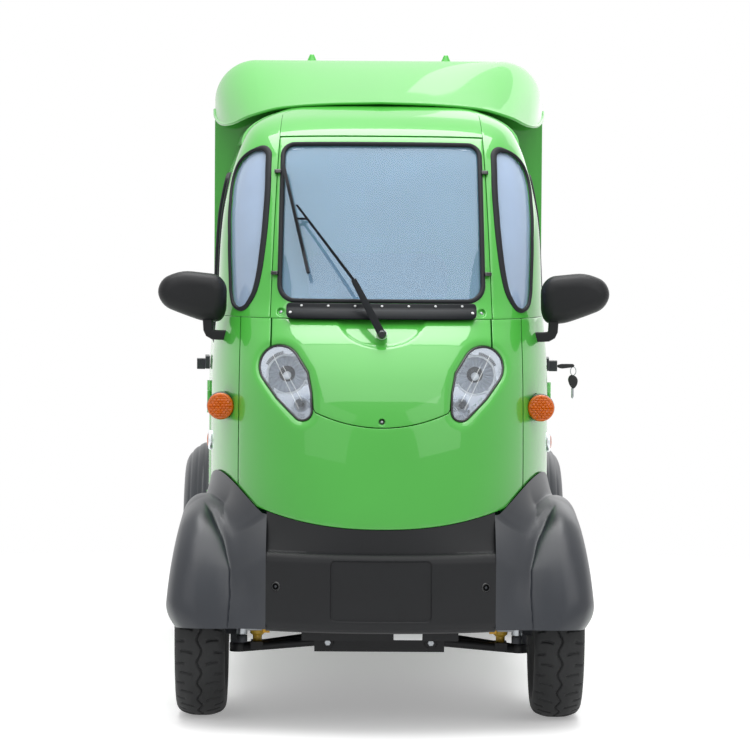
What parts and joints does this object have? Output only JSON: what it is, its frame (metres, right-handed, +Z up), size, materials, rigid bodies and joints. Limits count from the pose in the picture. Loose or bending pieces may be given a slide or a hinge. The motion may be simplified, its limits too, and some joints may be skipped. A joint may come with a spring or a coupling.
{
  "type": "electric mini truck",
  "caption": "Narrow single-seat electric mini truck with a rounded cab, a closed cargo box under a moulded roof fairing, and four flared mudguards.",
  "frame": {"origin": "on the ground, under the middle of the overall box", "axes": "-Y to the front of the truck, +Z up, +X to the right as seen from the front"},
  "size_m": [1.2154, 2.89, 1.776],
  "materials": {
    "paint": "gloss",
    "bed": "satin",
    "frame": "satin",
    "charcoal": "matte",
    "slate": "satin",
    "glass": "polished",
    "lens": "polished",
    "reflector": "polished",
    "amber": "gloss",
    "red": "gloss",
    "mirror": "polished",
    "black_gloss": "gloss",
    "seat_skin": "satin",
    "spring": "satin",
    "steel": "satin",
    "cast": "matte",
    "alloy": "satin",
    "tyre": "matte"
  },
  "bodies": {
    "chassis": {"nose_panel": "paint", "bonnet_cover": "paint", "windscreen_frame": "paint", "corner_panels": "paint", "lower_corners": "paint", "cab_roof": "paint", "box_front": "paint", "box_sides": "paint", "box_roof": "paint", "box_fairing": "paint", "side_skirts": "paint", "door_hinges": "paint", "box_bed": "bed", "chassis_frame": "frame", "leaf_springs": "frame", "front_arms": "frame", "front_bumper": "charcoal", "tail_panel": "charcoal", "cab_floor": "charcoal", "dashboard": "charcoal", "battery_pack": "charcoal", "front_mudguards": "slate", "rear_mudguards": "slate", "mirrors": "slate", "wiper": "slate", "windscreen": "glass", "quarter_glass": "glass", "headlamp_lenses": "lens", "headlamp_bowls": "reflector", "indicators": "amber", "tail_lamps": "red", "mirror_glass": "mirror", "cowl_vent": "black_gloss", "seat": "seat_skin", "front_dampers": "spring", "steering_rack": "steel", "rear_axle": "cast"},
    "cab_door_right": {"door_right": "paint", "door_glass_right": "glass", "door_handles_right": "slate"},
    "cab_door_left": {"door_left": "paint", "door_glass_left": "glass", "door_handles_left": "slate"},
    "box_door_right": {"rear_door_right": "paint"},
    "box_door_left": {"rear_door_left": "paint"},
    "steer_knuckle_right": {"knuckle_right": "cast"},
    "steer_knuckle_left": {"knuckle_left": "cast"},
    "steer_rods": {"tie_rods": "steel"},
    "hand_wheel": {"steering_wheel": "black_gloss"},
    "wheel_front_right": {"rim_front_right": "alloy", "tyre_front_right": "tyre"},
    "wheel_front_left": {"rim_front_left": "alloy", "tyre_front_left": "tyre"},
    "wheel_rear_right": {"rim_rear_right": "alloy", "tyre_rear_right": "tyre"},
    "wheel_rear_left": {"rim_rear_left": "alloy", "tyre_rear_left": "tyre"}
  },
  "joints": [
    {"name": "steer_left", "type": "hinge", "parent": "chassis", "child": "steer_knuckle_left", "pos_m": [-0.372, -1.015, 0.27], "axis": [0, 0, 1], "range_deg": [-30, 30]},
    {"name": "steer_right", "type": "hinge", "parent": "chassis", "child": "steer_knuckle_right", "pos_m": [0.372, -1.015, 0.27], "axis": [0, 0, 1], "range_deg": [-31, 31]},
    {"name": "rack", "type": "slide", "parent": "chassis", "child": "steer_rods", "axis": [1, 0, 0], "range_m": [-0.075, 0.075]},
    {"name": "hand_wheel_turn", "type": "hinge", "parent": "chassis", "child": "hand_wheel", "pos_m": [0, -0.634, 1.013], "axis": [0, 0.829, 0.5592], "range_deg": [-310, 310]},
    {"name": "wheel_front_left_spin", "type": "hinge", "parent": "steer_knuckle_left", "child": "wheel_front_left", "pos_m": [-0.466, -1.015, 0.243], "axis": [1, 0, 0], "continuous": true},
    {"name": "wheel_front_right_spin", "type": "hinge", "parent": "steer_knuckle_right", "child": "wheel_front_right", "pos_m": [0.466, -1.015, 0.243], "axis": [1, 0, 0], "continuous": true},
    {"name": "wheel_rear_left_spin", "type": "hinge", "parent": "chassis", "child": "wheel_rear_left", "pos_m": [-0.512, 0.98, 0.243], "axis": [1, 0, 0], "continuous": true},
    {"name": "wheel_rear_right_spin", "type": "hinge", "parent": "chassis", "child": "wheel_rear_right", "pos_m": [0.512, 0.98, 0.243], "axis": [1, 0, 0], "continuous": true},
    {"name": "cab_door_left_hinge", "type": "hinge", "parent": "chassis", "child": "cab_door_left", "pos_m": [-0.46299, -0.64039, 0.67], "axis": [0, 0, 1], "range_deg": [0, 75]},
    {"name": "cab_door_right_hinge", "type": "hinge", "parent": "chassis", "child": "cab_door_right", "pos_m": [0.46299, -0.64039, 0.67], "axis": [0, 0, -1], "range_deg": [0, 75]},
    {"name": "box_door_left_hinge", "type": "hinge", "parent": "chassis", "child": "box_door_left", "pos_m": [-0.48, 1.416, 1.08], "axis": [0, 0, 1], "range_deg": [0, 110]},
    {"name": "box_door_right_hinge", "type": "hinge", "parent": "chassis", "child": "box_door_right", "pos_m": [0.48, 1.416, 1.08], "axis": [0, 0, -1], "range_deg": [0, 110]}
  ],
  "couplings": [
    {"joint": "steer_right", "follows": "steer_left", "ratio": 1},
    {"joint": "rack", "follows": "steer_left", "m_per_rad": 0.14},
    {"joint": "hand_wheel_turn", "follows": "steer_left", "ratio": 10}
  ]
}
